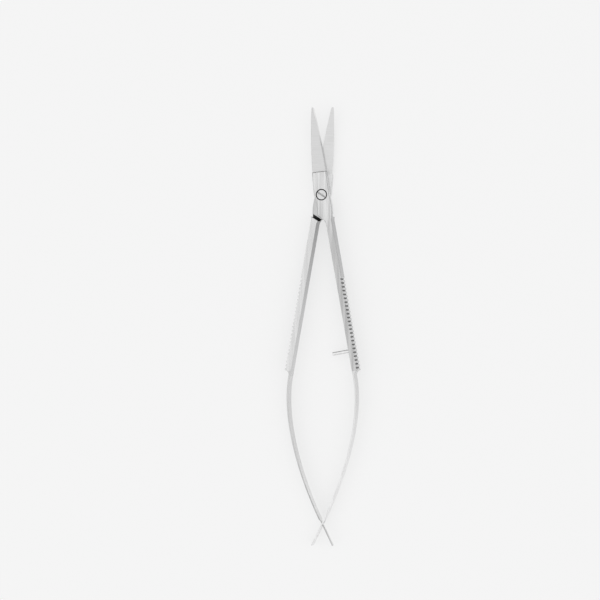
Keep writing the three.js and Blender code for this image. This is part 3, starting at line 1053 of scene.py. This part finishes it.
    def _zone(self, centre: Vector, normal: Vector) -> Zone:
        """Choose a face's zone by where it lies on the forging and which way it faces.

        Args:
            centre: Middle of the face.
            normal: Which way it faces.

        Returns:
            The zone.
        """
        arm, joint = self.arm, self.joint
        along, out = arm.read(centre.x, centre.y)
        upright = abs(normal.z) < self.facing
        level = abs(normal.z) > self.level
        slanted = 1 - self.level <= abs(normal.z) <= self.level
        # On the blade, the edge bevels carry a honed edge with a painted highlight, and the ground face has
        # painted light near the joint
        if self._on_blade(centre):
            return Zone.HONED if abs(normal.x) > self.facing else Zone.GROUND
        # Painted shade: the lining of the bore and of the relief groove
        if self._in_hollow(centre, normal):
            return Zone.HOLLOWS
        # Painted shade: the recess and its under-faces take darker steel
        if centre.xy.length < joint.recess_radius and centre.z < joint.face - self.fine_edge_break:
            return Zone.RECESS if normal.z > -self.level else Zone.LAPS
        # The spring leaves and their edges carry painted light and shade along the tail
        if along > arm.length + arm.pad_runout:
            return Zone.SPRING if upright else Zone.LEAF_EDGES
        if upright and self._on_pad(centre):
            # Painted shade: the valleys between the teeth take the dark valley steel
            return Zone.VALLEYS if out < arm.thickness - arm.tooth_depth / 2 else Zone.CRESTS
        # Painted shade: the lap face below the pivot, beside the other half's joint
        if level and abs(centre.z - joint.lap) < self.fine_edge_break and centre.y < 0:
            return Zone.LAPS
        # Painted shade: rounded edges away from the pad take the darker edge steel
        if slanted and along < arm.pad_start:
            return Zone.EDGES
        if not upright:
            return Zone.POLISHED
        # Painted light and shade on the joint's side walls; painted shade on the arms' walls, darkest on
        # their inner sides
        if along < 0:
            return Zone.FLANKS
        return Zone.INNER_WALLS if out < arm.thickness / 2 else Zone.WALLS


def rounded_rim(radius: float, top: float, rounding: float) -> list[Point]:
    """Quarter round that ends a turned profile.

    Args:
        radius: Radius below the rounding.
        top: Height of the end.
        rounding: Size of the rounding.

    Returns:
        Points as (radius, height), the last one on the axis.
    """
    points = []
    for step in range(RIM_STEPS + 1):
        angle = math.pi / 2 * step / RIM_STEPS
        points.append((radius - rounding * (1 - math.cos(angle)), top - rounding * (1 - math.sin(angle))))
    return [*points, (0.0, top)]


def pin_profile(radius: float, length: float, rounding: float) -> list[Point]:
    """Profile of a pin along its own axis, with its free end rounded, as (radius, distance)."""
    return [(0.0, 0.0), (radius, 0.0), *rounded_rim(radius, length, rounding)]


def pin_matrix(arm: Arm) -> Matrix:
    """Place of the stop pin: its seat in the arm, pointing in square to the inner face.

    Args:
        arm: Sizes of the arm.

    Returns:
        The move from the pivot axis to the seat.
    """
    seat = arm.at(arm.pin_along, arm.pin_seat)
    turn = Matrix.Rotation(math.radians(arm.angle), 4, "Z") @ Matrix.Rotation(-math.pi / 2, 4, "Y")
    return Matrix.Translation((seat.x, seat.y, 0.0)) @ turn


@dataclass
class PivotScrew:
    """The slotted screw that holds the halves together."""

    pivot: Vector
    head_radius: float = 1.25
    head_height: float = 0.65
    head_rounding: float = 0.06
    shank_radius: float = 0.9
    slot_width: float = 0.4
    slot_depth: float = 0.35
    slot_angle: float = -34.0
    clearance: float = 0.05
    edge_rounding: float = 0.03
    segments: int = 64
    joint: Joint = field(default_factory=Joint)

    def build(self) -> bpy.types.Object:
        """Make the mesh and place it.

        Returns:
            The finished object.
        """
        under = self.joint.face - self.joint.recess_depth + self.clearance
        top = under + self.head_height
        foot = -self.joint.face
        profile = [(0.0, foot), (self.shank_radius, foot), (self.shank_radius, under)]
        profile += [(self.head_radius, under), *rounded_rim(self.head_radius, top, self.head_rounding)]
        body = Solid.turned("slotted_screw", profile, self.segments)
        reach = 2 * self.head_radius
        half = self.slot_width / 2
        outline = [(-reach, -half), (reach, -half), (reach, half), (-reach, half)]
        slot = Solid.prism("slot", outline, top - self.slot_depth, top + self.head_height)
        body.cut(slot.moved(Matrix.Rotation(math.radians(self.slot_angle), 4, "Z")))
        body.soften(lambda place: self.edge_rounding)
        # Faces inside the slot take the recess steel: painted shade in the slot
        inside = self.head_radius - half
        for polygon in body.thing.data.polygons:
            below_top = under < polygon.center.z < top - self.edge_rounding
            polygon.material_index = int(below_top and polygon.center.xy.length < inside)
        return body.place(self.pivot)

    def dress(self, piece: bpy.types.Object) -> None:
        """Give the screw its steel, with painted shade in the slot, and seat it in the rear half's thread.

        Args:
            piece: The finished mesh.
        """
        piece.data.materials.append(SCREW.material())
        piece.data.materials.append(RECESS.material())
        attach(piece, "rear_half")
        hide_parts("pivot_screw")


@dataclass
class StopPin:
    """The pin that stops the arms when the blades are shut."""

    pivot: Vector
    arm: Arm = field(default_factory=Arm)
    radius: float = 0.5
    stop_angle: float = 13.5
    stop_clearance: float = 0.05
    rounding: float = 0.1
    edge_rounding: float = 0.025
    sharp: float = 40.0
    segments: int = 40

    @property
    def free_length(self) -> float:
        """Length out of the arm that just clears the other arm when the blades are shut.

        Returns:
            The length in millimetres.
        """
        turn = math.radians(self.stop_angle) / 2
        swing = Matrix.Rotation(-turn, 2)
        base = swing @ self.arm.at(self.arm.pin_along, 0.0)
        root = swing @ Vector(self.arm.root)
        lean = math.radians(self.arm.angle) - turn
        gap = (base.x + root.x) * math.cos(lean) - (base.y - root.y) * math.sin(lean)
        return (gap - self.radius * math.sin(2 * lean)) / math.cos(2 * lean) - self.stop_clearance

    def build(self) -> bpy.types.Object:
        """Make the mesh and place it.

        Returns:
            The finished object.
        """
        profile = pin_profile(self.radius, self.arm.pin_seat + self.free_length, self.rounding)
        body = Solid.turned("round_stop_pin", profile, self.segments).moved(pin_matrix(self.arm))
        return body.soften(lambda place: self.edge_rounding, angle=self.sharp).place(self.pivot)

    def dress(self, piece: bpy.types.Object) -> None:
        """Give the pin its steel and fix it to the front half's arm.

        Args:
            piece: The finished mesh.
        """
        piece.data.materials.append(PIN.material())
        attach(piece, "front_half")
        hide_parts("stop_pin")


@dataclass(frozen=True)
class Lamp:
    """A square soft light: its place from what it faces and its side in metres, its power in watts."""

    name: str
    offset: Place
    size: float
    power: float

    def build(self, aim: Vector) -> None:
        """Make the light.

        Args:
            aim: The point that it faces, in metres.
        """
        light = bpy.data.lights.new(self.name, "AREA")
        light.energy = self.power
        light.size = self.size
        lamp = bpy.data.objects.new(self.name, light)
        lamp.location = aim + Vector(self.offset)
        lamp.rotation_euler = (-Vector(self.offset)).to_track_quat("-Z", "Y").to_euler()
        bpy.context.scene.collection.objects.link(lamp)


@dataclass
class Studio:
    """Pale floor, soft light and a camera that looks down on the scissors from a little to the right."""

    pivot: Vector
    image_pixels: float = 600.0
    mm_per_pixel: float = 0.262
    axis_pixel: Point = (322.8, 195.0)
    tilt: float = 12.0
    lens: float = 120.0
    sensor: float = 36.0
    clip_factor: float = 100.0
    floor_half: float = 3.0
    floor_grey: float = 0.94
    floor_glow: float = 0.7
    brightest: Place = (0.0, -0.2, 0.98)
    dome_levels: tuple[Point, ...] = ((0.0, 0.22), (0.3, 0.4), (0.65, 0.95), (1.0, 1.0))
    lamps: tuple[Lamp, ...] = (
        Lamp("key_panel", (-0.65, -0.1, 0.55), 1.1, 0.8),
        Lamp("fill_panel", (0.65, -0.2, 0.55), 1.1, 0.6),
    )

    def build(self) -> None:
        """Make the floor, the light and the camera."""
        self._floor()
        self._world()
        for lamp in self.lamps:
            lamp.build(self.pivot)
        self._camera()
        bpy.context.scene.view_settings.view_transform = "Standard"

    def _floor(self) -> None:
        """A wide pale floor under the scissors."""
        half = self.floor_half
        mesh = bpy.data.meshes.new("floor")
        corners = [(-half, -half, 0), (half, -half, 0), (half, half, 0), (-half, half, 0)]
        mesh.from_pydata(corners, [], [(0, 1, 2, 3)])
        floor = bpy.data.objects.new("floor", mesh)
        bpy.context.scene.collection.objects.link(floor)
        material = bpy.data.materials.new("pale_floor")
        material.use_nodes = True
        graph = Graph(material.node_tree)
        colour = (self.floor_grey, self.floor_grey, self.floor_grey, 1.0)
        paper = graph.node("ShaderNodeBsdfDiffuse", None, {"Color": colour})["BSDF"]
        glow = graph.node("ShaderNodeEmission", None, {"Color": colour})["Emission"]
        ray = graph.node("ShaderNodeLightPath")
        seen = ray["Is Camera Ray"] + ray["Is Glossy Ray"] + ray["Is Transmission Ray"]
        mix = graph.node("ShaderNodeMixShader", None, {0: self.floor_glow * seen, 1: paper, 2: glow})
        graph.node("ShaderNodeOutputMaterial", None, {"Surface": mix["Shader"]})
        mesh.materials.append(material)

    def _world(self) -> None:
        """A pale dome, brightest near overhead and dim towards its rim."""
        world = bpy.data.worlds.new("studio_dome")
        bpy.context.scene.world = world
        world.use_nodes = True
        graph = Graph(world.node_tree)
        toward = graph.node("ShaderNodeTexCoord")["Generated"]
        height = graph.node(
            "ShaderNodeVectorMath", {"operation": "DOT_PRODUCT"}, {0: toward, 1: self.brightest}
        )["Value"]
        stops = [(place, (level, level, level, 1.0)) for place, level in self.dome_levels]
        colour = graph.node("ShaderNodeValToRGB", {"stops": stops}, {"Fac": height})["Color"]
        dome = graph.node("ShaderNodeBackground", None, {"Color": colour, "Strength": 1.0})["Background"]
        graph.node("ShaderNodeOutputWorld", None, {"Surface": dome})

    def _camera(self) -> None:
        """A long lens over the scissors, framed as the photograph is."""
        tilt = math.radians(self.tilt)
        right = Vector((math.cos(tilt), 0.0, -math.sin(tilt)))
        up = Vector((0.0, 1.0, 0.0))
        back = Vector((math.sin(tilt), 0.0, math.cos(tilt)))
        middle = self.image_pixels / 2
        step = self.mm_per_pixel * MM
        aim = self.pivot + right * (middle - self.axis_pixel[0]) * step
        aim += up * (self.axis_pixel[1] - middle) * step
        distance = self.image_pixels * step * self.lens / self.sensor
        data = bpy.data.cameras.new("camera")
        data.lens = self.lens
        data.sensor_width = self.sensor
        data.clip_start = distance / self.clip_factor
        data.clip_end = distance * self.clip_factor
        camera = bpy.data.objects.new("camera", data)
        facing = Matrix((right, up, back)).transposed().to_4x4()
        camera.matrix_world = Matrix.Translation(aim + back * distance) @ facing
        bpy.context.scene.collection.objects.link(camera)
        bpy.context.scene.camera = camera


def pivot_point() -> Vector:
    """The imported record's point on the pivot axis at mid-depth, in metres."""
    joint = next(j for j in frame["joints"] if j["name"] == "blade_pivot")
    return Vector(joint["pos_m"])


def main() -> None:
    """Build the studio and every piece."""
    logging.basicConfig(level=logging.INFO)
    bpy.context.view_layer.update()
    pivot = pivot_point()
    Studio(pivot).build()
    halves = [ScissorHalf(pivot, side) for side in Side]
    for maker in (*halves, PivotScrew(pivot), StopPin(pivot)):
        piece = maker.build()
        maker.dress(piece)
        LOG.info("%s: %d faces", piece.name, len(piece.data.polygons))


if __name__ == "__main__":
    main()
